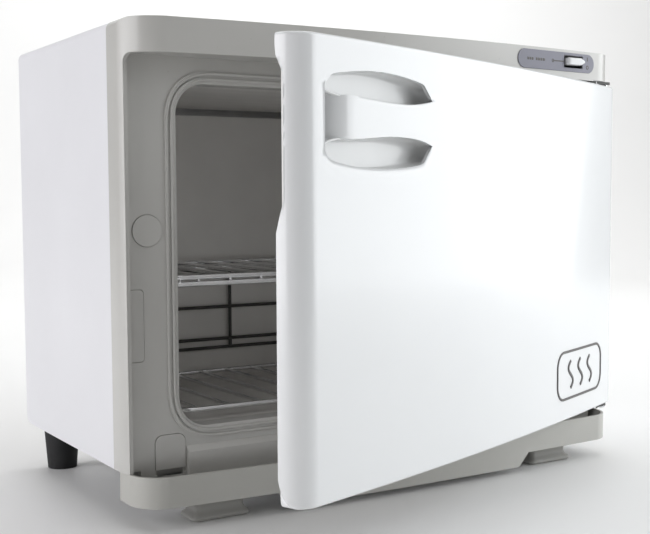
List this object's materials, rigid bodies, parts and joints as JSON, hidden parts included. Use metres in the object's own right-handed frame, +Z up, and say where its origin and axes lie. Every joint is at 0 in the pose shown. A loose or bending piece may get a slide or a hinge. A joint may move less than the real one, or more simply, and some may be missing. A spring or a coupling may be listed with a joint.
{
  "type": "hot towel cabinet",
  "caption": "Bench-top hot towel cabinet with a bowed side-hinged door standing ajar, heated cavity, wire shelf, pull-out drip tray and rocker switch.",
  "frame": {"origin": "on the ground under the middle of the whole object's box, with the door ajar as at rest", "axes": "+X to the right of the front, +Y to the back, +Z up"},
  "size_m": [0.45, 0.3956, 0.348],
  "materials": {
    "cover_paint": "fine satin white powder coat",
    "bare_steel": "zinc plated",
    "frame_plastic": "satin moulded, warm light grey",
    "liner_metal": "satin anodised, dark warm grey",
    "heater_sheath": "dull",
    "glass_wool": "fibrous",
    "ceramic": "unglazed",
    "wire_insulation": "silicone sleeved",
    "black_plastic": "satin",
    "brass": "plated",
    "chrome_wire": "bright",
    "dark_metal": "dark satin",
    "tray_plastic": "satin moulded, mid warm grey",
    "black_rubber": "matte",
    "zinc_screw": "bright zinc",
    "pin_steel": "ground",
    "label_grey": "printed film, grey with a lilac cast",
    "white_gloss": "high gloss",
    "door_white": "satin",
    "foam": "open foam",
    "gasket_rubber": "soft silicone",
    "nylon": "natural",
    "magnet": "sleeved ferrite",
    "cup_plastic": "gloss, cool white",
    "badge_grey": "printed"
  },
  "bodies": {
    "cabinet": {"wrap_cover": "cover_paint", "back_panel": "bare_steel", "base_plate": "bare_steel", "front_frame": "frame_plastic", "screw_cap": "frame_plastic", "striker_plate": "frame_plastic", "drain_cover": "frame_plastic", "cavity_liner": "liner_metal", "heater_plate": "bare_steel", "heating_element": "heater_sheath", "insulation_wrap": "glass_wool", "insulation_rear": "glass_wool", "thermostat": "ceramic", "thermal_fuse": "bare_steel", "terminal_block": "ceramic", "wiring_harness": "wire_insulation", "power_inlet": "black_plastic", "earth_stud": "brass", "wire_shelf": "chrome_wire", "shelf_rails": "bare_steel", "rear_guard": "dark_metal", "floor_rack": "chrome_wire", "tray_carrier": "bare_steel", "front_feet": "tray_plastic", "rear_feet": "black_rubber", "foot_screws": "zinc_screw", "back_screws": "zinc_screw", "hinge_bracket_upper": "dark_metal", "hinge_bracket_lower": "dark_metal", "hinge_pins": "pin_steel", "hinge_screws": "zinc_screw", "control_label": "label_grey", "switch_body": "black_plastic"},
    "door": {"door_shell": "white_gloss", "door_inner": "door_white", "door_foam": "foam", "door_gasket": "gasket_rubber", "door_bushes": "nylon", "door_magnet": "magnet", "door_screws": "zinc_screw", "handle_cup": "cup_plastic", "badge": "badge_grey"},
    "drip_tray": {"drip_tray": "tray_plastic"},
    "power_knob": {"power_knob": "white_gloss"}
  },
  "joints": [
    {"name": "door_hinge", "type": "hinge", "parent": "cabinet", "child": "door", "pos_m": [0.215, -0.039, 0.18], "axis": [0, 0, 1], "range_deg": [-21, 88]},
    {"name": "tray_slide", "type": "slide", "parent": "cabinet", "child": "drip_tray", "axis": [0, -1, 0], "range_m": [0, 0.06]},
    {"name": "rocker_tilt", "type": "hinge", "parent": "cabinet", "child": "power_knob", "pos_m": [0.166, -0.044, 0.3385], "axis": [1, 0, 0], "range_deg": [-6, 6]}
  ]
}
